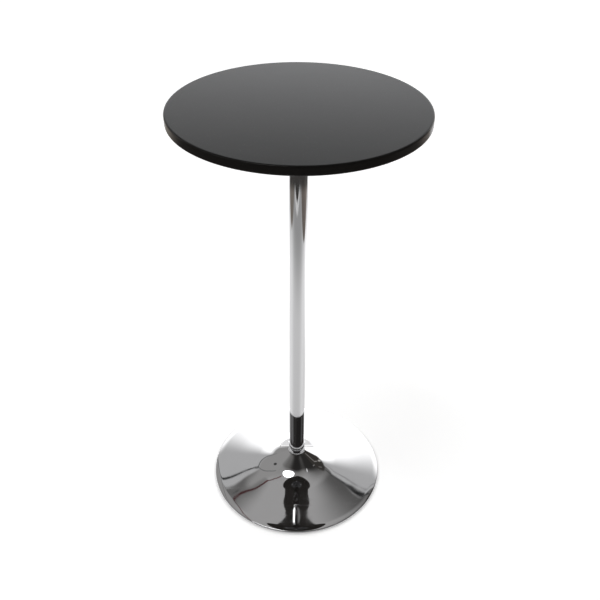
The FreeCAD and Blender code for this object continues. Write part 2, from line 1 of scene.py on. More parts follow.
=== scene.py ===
"""Round pub table: lacquered top, chromed column and spun trumpet base, as it looks when new.

Metres, +Z up.  The origin is on the floor, under the middle of the column.  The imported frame
gives every piece its place; this file gives the visible pieces their fine shape and finish.
"""
import logging
import math
from abc import ABC, abstractmethod
from dataclasses import dataclass, field
from enum import Enum
from typing import Callable, ClassVar, Dict, List, Mapping, Optional, Sequence, Tuple, Union

import bmesh
import bpy
from mathutils import Matrix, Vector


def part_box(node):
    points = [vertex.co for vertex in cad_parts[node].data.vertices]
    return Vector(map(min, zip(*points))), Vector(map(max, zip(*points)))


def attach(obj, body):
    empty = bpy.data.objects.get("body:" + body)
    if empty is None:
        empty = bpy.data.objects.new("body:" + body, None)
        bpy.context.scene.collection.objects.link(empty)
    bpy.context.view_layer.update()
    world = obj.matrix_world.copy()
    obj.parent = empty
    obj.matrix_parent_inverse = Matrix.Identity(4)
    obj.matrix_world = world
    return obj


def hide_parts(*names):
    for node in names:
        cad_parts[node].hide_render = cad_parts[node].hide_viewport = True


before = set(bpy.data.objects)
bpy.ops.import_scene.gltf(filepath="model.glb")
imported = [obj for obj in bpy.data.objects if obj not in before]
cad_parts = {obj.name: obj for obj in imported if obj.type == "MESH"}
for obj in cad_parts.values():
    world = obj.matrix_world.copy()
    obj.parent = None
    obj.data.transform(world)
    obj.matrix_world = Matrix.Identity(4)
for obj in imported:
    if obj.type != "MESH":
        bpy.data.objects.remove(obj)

log = logging.getLogger("pub_table")

MM = 0.001
ROOT_BODY = "root"
FULL_TURN = 2 * math.pi
SMOOTH_ANGLE = math.radians(40)
CORNER_ANGLE = math.radians(60)
LEVEL = 0.999

Colour = Tuple[float, float, float]
Pair = Tuple[float, float]
Node = bpy.types.Node
Socket = bpy.types.NodeSocket
Sockets = bpy.types.bpy_prop_collection
Value = Union[float, Sequence[float], Socket]
Element = Union[bmesh.types.BMEdge, bmesh.types.BMFace]


class Slot(str, Enum):
    """Material slots of the part's record, named for each new piece but not read."""

    BLACK_TOP = "black_top"
    CHROME = "chrome"
    SATIN_CHROME = "satin_chrome"


class Sum(str, Enum):
    """Arithmetic that the node graphs use."""

    ADD = "ADD"
    SUBTRACT = "SUBTRACT"
    MULTIPLY = "MULTIPLY"
    DIVIDE = "DIVIDE"
    MAXIMUM = "MAXIMUM"
    SIZE = "ABSOLUTE"
    ANGLE_OF_COSINE = "ARCCOSINE"
    ANGLE_OF_SIDES = "ARCTAN2"
    TO_DEGREES = "DEGREES"
    SINE = "SINE"


class Kind(str, Enum):
    """Kinds of socket on a shared effect."""

    NUMBER = "NodeSocketFloat"
    VECTOR = "NodeSocketVector"


class Pick(str, Enum):
    """What can be selected on the bench."""

    EDGES = "EDGE"
    FACES = "FACE"


# ---- Node graphs ----


class Graph:
    """Adds nodes to one tree and joins them."""

    def __init__(self, tree: bpy.types.NodeTree) -> None:
        """Starts on the emptied tree of a material, a group or the world."""
        self.tree = tree
        self.tree.nodes.clear()

    def node(self, kind: str, inputs: Optional[Mapping[Union[str, int], Value]] = None,
             **settings: object) -> Node:
        """Adds one node.

        Args:
            kind: the node's type, such as ShaderNodeMath.
            inputs: socket name or number, and its value or the socket that feeds it.
            settings: properties of the node itself.

        Returns:
            The new node.
        """
        made = self.tree.nodes.new(kind)
        for name, setting in settings.items():
            setattr(made, name, setting)
        for key, value in (inputs or {}).items():
            self.feed(made.inputs[key], value)
        return made

    def feed(self, socket: Socket, value: Value) -> None:
        """Links a socket to another, or sets it.

        Args:
            socket: the input that is fed.
            value: an output socket, or a plain value.
        """
        if isinstance(value, Socket):
            self.tree.links.new(value, socket)
        elif isinstance(value, (int, float)):
            socket.default_value = value
        elif len(value) < len(socket.default_value):
            socket.default_value = (*value, 1.0)
        else:
            socket.default_value = tuple(value)

    def sum(self, operation: Sum, *values: Value) -> Socket:
        """Does one piece of arithmetic."""
        return self.node("ShaderNodeMath", dict(enumerate(values)),
                         operation=operation.value).outputs[0]

    def add(self, first: Value, *others: Value) -> Value:
        """Adds numbers up."""
        for other in others:
            first = self.sum(Sum.ADD, first, other)
        return first

    def less(self, first: Value, second: Value) -> Socket:
        """Takes the second number from the first."""
        return self.sum(Sum.SUBTRACT, first, second)

    def times(self, first: Value, second: Value) -> Socket:
        """Multiplies two numbers."""
        return self.sum(Sum.MULTIPLY, first, second)

    def over(self, first: Value, second: Value) -> Socket:
        """Divides the first number by the second."""
        return self.sum(Sum.DIVIDE, first, second)

    def weigh(self, *shares: Tuple[Value, float]) -> Value:
        """Adds masks up, each by its share."""
        return self.add(*(self.times(mask, share) for mask, share in shares))

    def ease(self, value: Value, low: Value, high: Value) -> Socket:
        """Rises smoothly from 0 where the value is low to 1 where it is high."""
        return self.node("ShaderNodeMapRange",
                         {"Value": value, "From Min": low, "From Max": high},
                         interpolation_type="SMOOTHSTEP").outputs["Result"]

    def within(self, place: Value, half: Value, softness: Value) -> Socket:
        """Fades from 1 inside a half size to 0 outside it."""
        return self.less(1.0, self.ease(place, self.less(half, softness),
                                        self.add(half, softness)))

    def span(self, mask: Value, low: float, high: float) -> Socket:
        """Spreads a mask over a range: low where it is 0 and high where it is 1."""
        return self.node("ShaderNodeMapRange", {"Value": mask, "To Min": low,
                                                "To Max": high}).outputs["Result"]

    def blend(self, factor: Value, first: Value, second: Value) -> Socket:
        """Mixes two colours: the first where the factor is 0, the second where it is 1."""
        return self.node("ShaderNodeMix", {0: factor, 6: first, 7: second},
                         data_type="RGBA").outputs[2]

    def layers(self, colour: Value, *coats: Tuple[Value, float, Value]) -> Value:
        """Lays coats on a colour, each with its mask, the share of it and its own colour."""
        for mask, share, coat in coats:
            colour = self.blend(self.times(mask, share), colour, coat)
        return colour

    def cloud(self, vector: Value, scale: float, detail: float = 2.0,
              roughness: float = 0.5, distortion: float = 0.0) -> Socket:
        """Reads soft three-way noise with so many waves to the metre."""
        return self.node("ShaderNodeTexNoise", {
            "Vector": vector, "Scale": scale, "Detail": detail,
            "Roughness": roughness, "Distortion": distortion}).outputs["Fac"]

    def place(self) -> Socket:
        """Returns the piece's own coordinates, in metres."""
        return self.node("ShaderNodeTexCoord").outputs["Object"]

    def normal(self) -> Socket:
        """Returns the direction that the surface faces."""
        return self.node("ShaderNodeNewGeometry").outputs["Normal"]

    def axes(self, vector: Value) -> Sockets:
        """Splits a vector into X, Y and Z."""
        return self.node("ShaderNodeSeparateXYZ", {0: vector}).outputs

    def vector(self, x: Value, y: Value, z: Value = 0.0) -> Socket:
        """Joins three numbers into a vector."""
        return self.node("ShaderNodeCombineXYZ", {0: x, 1: y, 2: z}).outputs[0]

    def reach(self, x: Value, y: Value) -> Socket:
        """Measures how far a place is from the middle."""
        return self.node("ShaderNodeVectorMath", {0: self.vector(x, y)},
                         operation="LENGTH").outputs["Value"]

    def grow(self, vector: Value, scale: Value) -> Socket:
        """Scales coordinates evenly."""
        return self.node("ShaderNodeVectorMath", {0: vector, "Scale": scale},
                         operation="SCALE").outputs[0]

    def stretch(self, vector: Value, scale: Sequence[float], turn: float) -> Socket:
        """Scales coordinates along each axis and turns them about +Z, in degrees."""
        return self.node("ShaderNodeMapping", {
            "Vector": vector, "Scale": scale,
            "Rotation": (0.0, 0.0, math.radians(turn))}).outputs["Vector"]


@dataclass(frozen=True)
class Port:
    """One named input or output of a shared effect."""

    name: str
    kind: Kind = Kind.NUMBER
    start: float = 0.0


PLACE = Port("Place", Kind.VECTOR)


class Effect(ABC):
    """A node group with named inputs and outputs, built once and placed in many materials."""

    title: ClassVar[str]
    takes: ClassVar[Tuple[Port, ...]]
    gives: ClassVar[Tuple[Port, ...]]

    @classmethod
    def tree(cls) -> bpy.types.NodeTree:
        """Returns the group, and builds it the first time."""
        found = bpy.data.node_groups.get(cls.title)
        if found:
            return found
        made = bpy.data.node_groups.new(cls.title, "ShaderNodeTree")
        for ports, side in ((cls.takes, "INPUT"), (cls.gives, "OUTPUT")):
            for port in ports:
                socket = made.interface.new_socket(port.name, in_out=side,
                                                   socket_type=port.kind.value)
                if port.kind is Kind.NUMBER:
                    socket.default_value = port.start
        graph = Graph(made)
        source = graph.node("NodeGroupInput")
        graph.node("NodeGroupOutput", cls.wire(graph, source.outputs))
        return made

    @classmethod
    @abstractmethod
    def wire(cls, graph: Graph, given: Sockets) -> Dict[str, Value]:
        """Makes the group's nodes.

        Args:
            graph: the group's graph.
            given: the group's inputs, by name.

        Returns:
            What each output is fed with.
        """

    @classmethod
    def on(cls, graph: Graph, **values: Value) -> Sockets:
        """Places the effect in a material, where it reads the piece's own coordinates.

        Args:
            graph: the material's graph.
            values: a value or socket for each input, with _ for the space in its name.

        Returns:
            The effect's outputs, by name.
        """
        made = graph.node("ShaderNodeGroup", node_tree=cls.tree())
        if PLACE in cls.takes:
            graph.feed(made.inputs[PLACE.name], graph.place())
        for name, value in values.items():
            graph.feed(made.inputs[name.replace("_", " ")], value)
        return made.outputs


class LatheLines(Effect):
    """Fine lines that run round the column's axis, as spinning and turning leave them."""

    title = "lathe_lines"
    takes = (PLACE, Port("Lines", start=900.0), Port("Run Out", start=0.4))
    gives = (Port("Height"), Port("Mask"))

    @classmethod
    def wire(cls, graph: Graph, given: Sockets) -> Dict[str, Value]:
        """Makes lines that follow radius and height and fade in and out round the turn."""
        place = graph.axes(given["Place"])
        wave = graph.sum(Sum.SINE, graph.sum(Sum.ANGLE_OF_SIDES, place["Y"], place["X"]))
        lines = graph.cloud(graph.vector(
            graph.times(graph.reach(place["X"], place["Y"]), given["Lines"]),
            graph.times(place["Z"], given["Lines"]),
            graph.times(wave, given["Run Out"])), 1.0, detail=3.0, roughness=0.6)
        return {"Height": lines, "Mask": graph.ease(lines, 0.52, 0.72)}


class HandlingMarks(Effect):
    """Wipe marks and finger smudges, large and faint, with a few hair scratches."""

    title = "handling_marks"
    takes = (PLACE, Port("Smudge Size", start=9.0), Port("Scratch Size", start=60.0))
    gives = (Port("Smudge"), Port("Scratch"))

    @classmethod
    def wire(cls, graph: Graph, given: Sockets) -> Dict[str, Value]:
        """Makes soft patches, and two crossing sets of long thin marks."""
        soft = graph.cloud(graph.grow(given["Place"], given["Smudge Size"]), 1.0,
                           detail=4.0, roughness=0.55, distortion=0.6)
        fine = graph.grow(given["Place"], given["Scratch Size"])
        marks: Value = 0.0
        for turn in (24.0, -63.0):
            drawn = graph.cloud(graph.stretch(fine, (0.12, 4.0, 0.5), turn), 1.0,
                                detail=1.0, distortion=0.3)
            marks = graph.sum(Sum.MAXIMUM, marks, graph.ease(drawn, 0.68, 0.76))
        return {"Smudge": graph.ease(soft, 0.44, 0.66), "Scratch": marks}


class SettledDust(Effect):
    """A thin film of dust and lint specks on faces that look up."""

    title = "settled_dust"
    takes = (PLACE, Port("Fleck Size", start=700.0))
    gives = (Port("Film"), Port("Fleck"))

    @classmethod
    def wire(cls, graph: Graph, given: Sockets) -> Dict[str, Value]:
        """Makes a film and specks, both only where the surface looks up."""
        upward = graph.ease(graph.axes(graph.normal())["Z"], 0.75, 0.98)
        film = graph.cloud(given["Place"], 14.0, detail=5.0, roughness=0.62)
        cells = graph.node("ShaderNodeTexVoronoi", {
            "Vector": graph.grow(given["Place"], given["Fleck Size"]), "Scale": 1.0}).outputs
        rare = graph.node("ShaderNodeSeparateColor", {0: cells["Color"]}).outputs[0]
        speck = graph.times(graph.less(1.0, graph.ease(cells["Distance"], 0.12, 0.26)),
                            graph.ease(rare, 0.93, 0.96))
        return {"Film": graph.times(graph.ease(film, 0.4, 0.7), upward),
                "Fleck": graph.times(speck, upward)}


class EdgeWear(Effect):
    """Finds the outer edges of a piece, broken up as use breaks them."""

    title = "edge_wear"
    takes = (PLACE, Port("Width", start=0.6 * MM), Port("Patch", start=90.0))
    gives = (Port("Edge"),)

    @classmethod
    def wire(cls, graph: Graph, given: Sockets) -> Dict[str, Value]:
        """Compares the true normal with a rounded one, and breaks the answer up with noise."""
        rounded = graph.node("ShaderNodeBevel", {"Radius": given["Width"]}, samples=4).outputs[0]
        match = graph.node("ShaderNodeVectorMath", {0: rounded, 1: graph.normal()},
                           operation="DOT_PRODUCT").outputs["Value"]
        worn = graph.cloud(graph.grow(given["Place"], given["Patch"]), 1.0, detail=3.0)
        return {"Edge": graph.times(graph.less(1.0, graph.ease(match, 0.86, 0.995)),
                                    graph.ease(worn, 0.42, 0.62))}


class CoatPeel(Effect):
    """The fine pebble of a sprayed or baked coat."""

    title = "coat_peel"
    takes = (PLACE, Port("Pebble", start=500.0), Port("Coarse", start=0.35))
    gives = (Port("Height"), Port("Mask"))

    @classmethod
    def wire(cls, graph: Graph, given: Sockets) -> Dict[str, Value]:
        """Adds a slow swell to a fine pebble."""
        fine = graph.grow(given["Place"], given["Pebble"])
        pebble = graph.cloud(fine, 1.0)
        swell = graph.times(graph.cloud(fine, 0.22, detail=1.0), given["Coarse"])
        return {"Height": graph.add(pebble, swell), "Mask": graph.ease(pebble, 0.45, 0.68)}


# ---- Finishes ----


@dataclass(frozen=True)
class Finish(ABC):
    """A surface finish, from which one material is made."""

    title: str
    colour: Colour
    roughness: float

    def material(self) -> bpy.types.Material:
        """Returns the finish's material, and builds it the first time."""
        found = bpy.data.materials.get(self.title)
        if found:
            return found
        made = bpy.data.materials.new(self.title)
        made.use_nodes = True
        graph = Graph(made.node_tree)
        shader = graph.node("ShaderNodeBsdfPrincipled")
        graph.node("ShaderNodeOutputMaterial", {"Surface": shader.outputs[0]})
        self.dress(graph, shader)
        made.diffuse_color = (*self.colour, 1.0)
        return made

    @abstractmethod
    def dress(self, graph: Graph, shader: Node) -> None:
        """Feeds the shader.

        Args:
            graph: the material's graph.
            shader: its Principled shader.
        """

    def skin(self, graph: Graph, shader: Node, colour: Value, dulled: Value,
             height: Value, depth: float) -> None:
        """Feeds what every finish has.

        Args:
            graph: the material's graph.
            shader: its Principled shader.
            colour: the colour, place by place.
            dulled: what is added to the finish's roughness.
            height: the pattern of the bump.
            depth: how many metres deep a height of 1 is.
        """
        bump = graph.node("ShaderNodeBump", {"Height": height, "Distance": depth,
                                             "Strength": 1.0})
        graph.feed(shader.inputs["Base Color"], colour)
        graph.feed(shader.inputs["Roughness"], graph.add(self.roughness, dulled))
        graph.feed(shader.inputs["Normal"], bump.outputs[0])


@dataclass(frozen=True)
class ChromePlate(Finish):
    """Polished or satin chrome over spun, drawn or turned steel."""

    lines: float = 900.0
    line_depth: float = 0.002 * MM
    chatter: float = 150.0
    chatter_depth: float = 0.0
    smudge: float = 0.03
    scratch: float = 0.05
    haze: Colour = (0.50, 0.50, 0.51)

    def dress(self, graph: Graph, shader: Node) -> None:
        """Feeds a mirror metal with faint lathe lines, smudges, scratches and dust."""
        marks = HandlingMarks.on(graph, Smudge_Size=16.0, Scratch_Size=55.0)
        fleck = SettledDust.on(graph, Fleck_Size=900.0)["Fleck"]
        lathe = LatheLines.on(graph, Lines=self.lines)
        hazy = graph.weigh((marks["Smudge"], self.smudge), (fleck, 0.4), (lathe["Mask"], 0.03))
        dulled = graph.weigh((marks["Smudge"], self.smudge), (marks["Scratch"], self.scratch),
                             (fleck, 0.25))
        height = graph.times(lathe["Height"], self.line_depth)
        if self.chatter_depth:
            roller = LatheLines.on(graph, Lines=self.chatter, Run_Out=0.15)
            height = graph.add(height, graph.times(roller["Height"], self.chatter_depth))
        shader.inputs["Metallic"].default_value = 1.0
        self.skin(graph, shader, graph.blend(hazy, self.colour, self.haze), dulled, height, 1.0)


@dataclass(frozen=True)
class BlackLacquer(Finish):
    """Satin black lacquer sprayed on a fibreboard top: lighter and browner wherever it doesn't
    face up, on the side and underneath, with a glossier coat on the side.
    """

    side: Colour = (0.026, 0.0235, 0.0215)
    bare: Colour = (0.10, 0.092, 0.085)
    dusty: Colour = (0.16, 0.16, 0.165)
    gloss: float = 0.046
    side_coat: float = 0.8
    side_coat_roughness: float = 0.14

    def dress(self, graph: Graph, shader: Node) -> None:
        """Feeds a sprayed coat with wear and dust, and a glossier one on the side."""
        peel = CoatPeel.on(graph, Pebble=900.0, Coarse=0.8)
        marks = HandlingMarks.on(graph, Smudge_Size=7.0, Scratch_Size=34.0)
        dust = SettledDust.on(graph, Fleck_Size=520.0)
        worn = EdgeWear.on(graph, Width=0.8 * MM, Patch=55.0)["Edge"]
        up = graph.axes(graph.normal())["Z"]
        # lighter, browner colour wherever the surface doesn't face straight up: the side band and
        # the underside
        coat = graph.layers(graph.blend(graph.ease(up, 0.97, 0.6), self.colour, self.side),
                            (peel["Mask"], 0.012, self.bare), (worn, 0.3, self.bare))
        dusting = graph.weigh((dust["Film"], 0.008), (dust["Fleck"], 0.35))
        flat = graph.ease(graph.sum(Sum.SIZE, up), 0.5, 0.96)
        graph.feed(shader.inputs["Coat Weight"], graph.span(flat, self.side_coat, 0.0))
        shader.inputs["Coat Roughness"].default_value = self.side_coat_roughness
        shader.inputs["Specular IOR Level"].default_value = self.gloss
        self.skin(graph, shader, graph.blend(dusting, coat, self.dusty),
                  graph.weigh((marks["Smudge"], 0.012), (marks["Scratch"], 0.02), (worn, 0.1)),
                  peel["Height"], 0.012 * MM)


@dataclass(frozen=True)
class PowderCoat(Finish):
    """Black powder coat baked on pressed steel."""

    pebbled: Colour = (0.07, 0.07, 0.072)
    worn_through: Colour = (0.22, 0.22, 0.23)
    dusty: Colour = (0.2, 0.19, 0.18)

    def dress(self, graph: Graph, shader: Node) -> None:
        """Feeds a pebbled coat, thin at its edges."""
        peel = CoatPeel.on(graph, Pebble=1100.0, Coarse=0.5)
        film = SettledDust.on(graph, Fleck_Size=600.0)["Film"]
        worn = EdgeWear.on(graph, Width=0.5 * MM, Patch=140.0)["Edge"]
        coat = graph.layers(self.colour, (peel["Mask"], 0.25, self.pebbled),
                            (worn, 0.6, self.worn_through), (film, 0.15, self.dusty))
        self.skin(graph, shader, coat, graph.times(peel["Mask"], 0.12), peel["Height"],
                  0.05 * MM)


@dataclass(frozen=True)
class TurnedSteel(Finish):
    """Turned or rolled steel with a thin plate, or brass, still showing the tool's lines."""

    lines: float = 2200.0
    shadow: Colour = (0.30, 0.29, 0.28)
    shine: float = 1.35

    def dress(self, graph: Graph, shader: Node) -> None:
        """Feeds a dull metal with tool lines, bright edges and a little tarnish."""
        lathe = LatheLines.on(graph, Lines=self.lines, Run_Out=0.8)
        smudge = HandlingMarks.on(graph, Smudge_Size=60.0, Scratch_Size=160.0)["Smudge"]
        worn = EdgeWear.on(graph, Width=0.25 * MM, Patch=400.0)["Edge"]
        bright = tuple(min(1.0, tone * self.shine) for tone in self.colour)
        metal = graph.layers(self.colour, (smudge, 0.45, self.shadow), (worn, 0.6, bright))
        shader.inputs["Metallic"].default_value = 1.0
        self.skin(graph, shader, metal, graph.times(lathe["Mask"], 0.15), lathe["Height"],
                  0.008 * MM)


@dataclass(frozen=True)
class CastIron(Finish):
    """Sand-cast iron with a thin dip of black paint."""

    thin_paint: Colour = (0.06, 0.06, 0.06)
    rust: Colour = (0.17, 0.075, 0.035)

    def dress(self, graph: Graph, shader: Node) -> None:
        """Feeds a coarse casting skin with rust where the paint is thin."""
        cast = CoatPeel.on(graph, Pebble=420.0, Coarse=1.4)
        worn = EdgeWear.on(graph, Width=0.9 * MM, Patch=120.0)["Edge"]
        patch = graph.ease(graph.cloud(graph.place(), 22.0, detail=6.0, roughness=0.65),
                           0.56, 0.7)
        iron = graph.layers(self.colour, (cast["Mask"], 0.4, self.thin_paint),
                            (graph.add(worn, patch), 0.5, self.rust))
        self.skin(graph, shader, iron, graph.times(cast["Mask"], 0.2), cast["Height"],
                  0.35 * MM)


@dataclass(frozen=True)
class MouldedRubber(Finish):
    """Black moulded rubber with a fine bloom."""

    bloom: Colour = (0.075, 0.075, 0.078)

    def dress(self, graph: Graph, shader: Node) -> None:
        """Feeds a matt rubber with a grey bloom and a fine mould texture."""
        mould = CoatPeel.on(graph, Pebble=1600.0, Coarse=0.3)
        smudge = HandlingMarks.on(graph, Smudge_Size=30.0, Scratch_Size=120.0)["Smudge"]
        worn = EdgeWear.on(graph, Width=0.4 * MM, Patch=180.0)["Edge"]
        rubber = graph.layers(self.colour, (graph.add(smudge, worn), 0.4, self.bloom))
        self.skin(graph, shader, rubber, graph.times(mould["Mask"], 0.1), mould["Height"],
                  0.02 * MM)


LACQUER = BlackLacquer("satin_black_lacquer", (0.003, 0.003, 0.003), 0.28)
DRAWN_CHROME = ChromePlate("polished_chrome_plate", (0.64, 0.64, 0.648), 0.025)
SPUN_CHROME = ChromePlate("spun_chrome_plate", (0.64, 0.64, 0.648), 0.025,
                          chatter_depth=0.008 * MM)
SATIN_CHROME = ChromePlate("satin_chrome_plate", (0.48, 0.485, 0.49), 0.1, lines=2600.0,
                           line_depth=0.004 * MM, smudge=0.04)
POWDER_COAT = PowderCoat("black_powder_coat", (0.022, 0.022, 0.023), 0.42)
PLATED_STEEL = TurnedSteel("zinc_plated_steel", (0.52, 0.52, 0.53), 0.3)
MACHINED_BRASS = TurnedSteel("machined_brass", (0.68, 0.52, 0.26), 0.26,
                             shadow=(0.32, 0.22, 0.10))
DIPPED_IRON = CastIron("dipped_cast_iron", (0.03, 0.03, 0.03), 0.55)
BLACK_RUBBER = MouldedRubber("moulded_black_rubber", (0.02, 0.02, 0.02), 0.6)


# ---- Mesh work ----


class Bench:
    """One piece on the bench, shaped in edit mode and then finished with modifiers."""

    def __init__(self, title: str) -> None:
        """Takes the primitive that was just added, with everything in it selected.

        Args:
            title: the piece's name.
        """
        self.piece = bpy.context.view_layer.objects.active
        self.piece.name = title
        self.piece.data.name = title
        bpy.ops.object.transform_apply(location=True, rotation=True, scale=True)
        bpy.ops.object.mode_set(mode="EDIT")
        bpy.ops.mesh.select_mode(type="VERT")

    @staticmethod
    def leave_edit_mode() -> None:
        """Goes back to object mode, if that is still to be done."""
        if bpy.context.mode != "OBJECT":
            bpy.ops.object.mode_set(mode="OBJECT")

    @classmethod
    def clear(cls) -> None:
        """Leaves nothing selected, so that an operator acts on the new piece alone."""
        cls.leave_edit_mode()
        bpy.ops.object.select_all(action="DESELECT")

    def pick(self, kind: Pick, wanted: Callable[[Element], bool]) -> None:
        """Selects edges or faces.

        Args:
            kind: which of the two.
            wanted: says whether an edge or face is taken.
        """
        bpy.ops.mesh.select_mode(type=kind.value)
        bpy.ops.mesh.select_all(action="DESELECT")
        shape = bmesh.from_edit_mesh(self.piece.data)
        for part in shape.edges if kind is Pick.EDGES else shape.faces:
            part.select_set(wanted(part))
        shape.select_flush_mode()
        bmesh.update_edit_mesh(self.piece.data)

    def close_seams(self) -> None:
        """Merges doubled points and turns every face outward."""
        bpy.ops.mesh.select_all(action="SELECT")
        bpy.ops.mesh.remove_doubles(threshold=0.002 * MM)
        bpy.ops.mesh.normals_make_consistent(inside=False)

    def modifier(self, kind: str, **settings: object) -> None:
        """Adds a modifier and applies it.

        Args:
            kind: the modifier's type.
            settings: its properties.
        """
        self.leave_edit_mode()
        added = self.piece.modifiers.new(kind.lower(), kind)
        for name, setting in settings.items():
            setattr(added, name, setting)
        bpy.ops.object.modifier_apply(modifier=added.name)

    def take(self, finish: Finish, slot: Slot, stands_for: str) -> None:
        """Ends the work: shades, dresses and hangs the piece on the table.

        Args:
            finish: the piece's finish.
            slot: not used.
            stands_for: the frame's node that it replaces.
        """
        self.leave_edit_mode()
        bpy.ops.object.shade_smooth_by_angle(angle=SMOOTH_ANGLE)
        self.piece.data.materials.clear()
        self.piece.data.materials.append(finish.material())
        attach(self.piece, ROOT_BODY)
        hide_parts(stands_for)
        log.info("%s: %d faces, %s", self.piece.name, len(self.piece.data.polygons), finish.title)
        self.piece.select_set(False)


@dataclass
class Outline:
    """Half a section of a spun or turned piece, drawn on from a start point.

    The slope is in degrees below the outward direction: 0 runs outward, 90 runs down and
    180 runs back in.
    """

    reach: float
    height: float
    slope: float
    points: List[Pair] = field(default_factory=list)

    def __post_init__(self) -> None:
        """Keeps the start point."""
        self.points.append((self.reach, self.height))

    def move(self, out: float, up: float) -> None:
        """Goes to the next point."""
        self.reach, self.height = self.reach + out, self.height + up
        self.points.append((self.reach, self.height))

    def run(self, length: float, cuts: int = 1) -> None:
        """Goes straight on.

        Args:
            length: how far.
            cuts: how many parts the run has.
        """
        step, angle = length / cuts, math.radians(self.slope)
        for _ in range(cuts):
            self.move(step * math.cos(angle), -step * math.sin(angle))

    def out_to(self, reach: float, cuts: int = 1) -> None:
        """Goes straight on, in so many parts, until it has a given radius."""
        self.run((reach - self.reach) / math.cos(math.radians(self.slope)), cuts)

    def bend(self, radius: float, slope: float, step: float) -> None:
        """Follows an arc until the outline has a given slope.

        Args:
            radius: the arc's radius.
            slope: the slope at its end, in degrees.
            step: the greatest turn from point to point, in degrees.
        """
        cuts = max(1, math.ceil(abs(slope - self.slope) / step))
        side = math.copysign(radius, slope - self.slope)
        start = self.slope
        for cut in range(cuts):
            here = math.radians(start + (slope - start) * cut / cuts)
            there = math.radians(start + (slope - start) * (cut + 1) / cuts)
            self.move(side * (math.sin(there) - math.sin(here)),
                      side * (math.cos(there) - math.cos(here)))
        self.slope = slope

    @staticmethod
    def bend_reach(radius: float, start: float, end: float) -> float:
        """Says how far out an arc goes between two slopes in degrees."""
        return abs(radius * (math.sin(math.radians(end)) - math.sin(math.radians(start))))

    def spin(self, title: str, around: int, closed: bool = False) -> Bench:
        """Extrudes the outline point by point and spins it round the column's axis.

        Args:
            title: the new piece's name.
            around: how many parts the turn has.
            closed: whether the outline's end is joined to its start first.

        Returns:
            The piece, in edit mode with its seams closed.
        """
        Bench.clear()
        (reach, height), later = self.points[0], self.points[1:]
        bpy.ops.mesh.primitive_plane_add(size=MM, location=(reach, 0.0, height))
        bench = Bench(title)
        bpy.ops.mesh.merge(type="CENTER")
        for next_reach, next_height in later:
            bpy.ops.mesh.extrude_region_move(TRANSFORM_OT_translate={
                "value": (next_reach - reach, 0.0, next_height - height)})
            reach, height = next_reach, next_height
        if closed:
            shape = bmesh.from_edit_mesh(bench.piece.data)
            shape.edges.new([point for point in shape.verts if len(point.link_edges) == 1])
            bmesh.update_edit_mesh(bench.piece.data)
        bpy.ops.mesh.select_all(action="SELECT")
        bpy.ops.mesh.spin(steps=around, angle=FULL_TURN, center=(0.0, 0.0, 0.0),
                          axis=(0.0, 0.0, 1.0))
        bench.close_seams()
        return bench


def dress_nodes(**finishes: Finish) -> None:
    """Gives nodes of the frame their finishes.

    Args:
        finishes: by the node's name, the finish that goes on all of its slots.
    """
    for title, finish in finishes.items():
        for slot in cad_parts[title].material_slots:
            slot.material = finish.material()
        log.info("%s: frame node, %s", title, finish.title)


# ---- The table ----


@dataclass
class TableTop:
    """The lacquered board and the pressed dish, hub and fixings that carry it."""

    upper_round: float = 6.0 * MM
    upper_cuts: int = 14
    lower_round: float = 3.0 * MM
    lower_cuts: int = 8
    round_profile: float = 0.72
    rim_ring: float = 0.6 * MM
    around: int = 256
    rings: int = 5

    def build(self) -> None:
        """Makes the board and dresses the fixings under it."""
        self.make_board()
        dress_nodes(mounting_dish=POWDER_COAT, dish_hub=PLATED_STEEL, dish_screws=PLATED_STEEL,
                    dish_washers=PLATED_STEEL, top_inserts=MACHINED_BRASS)

    def make_board(self) -> None:
        """Turns a plain disc into a board with eased edges and ringed faces."""
        low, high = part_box("table_top")
        radius = high.x
        Bench.clear()
        bpy.ops.mesh.primitive_cylinder_add(
            vertices=self.around, radius=radius, depth=high.z - low.z,
            location=(0.0, 0.0, (low.z + high.z) / 2))
        bench = Bench("lacquered_top")
        for level, ease, cuts in ((high.z, self.upper_round, self.upper_cuts),
                                  (low.z, self.lower_round, self.lower_cuts)):
            bench.pick(Pick.EDGES, lambda edge: all(
                abs(end.co.z - level) < MM for end in edge.verts))
            bpy.ops.mesh.bevel(offset=ease, segments=cuts, profile=self.round_profile,
                               affect="EDGES")
        for side, ease in ((1.0, self.upper_round), (-1.0, self.lower_round)):
            bench.pick(Pick.FACES, lambda face: face.normal.z * side > LEVEL
                       and face.calc_center_median().xy.length < 0.1 * radius)
            bpy.ops.mesh.inset(thickness=self.rim_ring, depth=0.0)
            for _ in range(self.rings):
                bpy.ops.mesh.inset(thickness=(radius - ease) / (self.rings + 1), depth=0.0)
        bench.close_seams()
        bench.take(LACQUER, Slot.BLACK_TOP, "table_top")


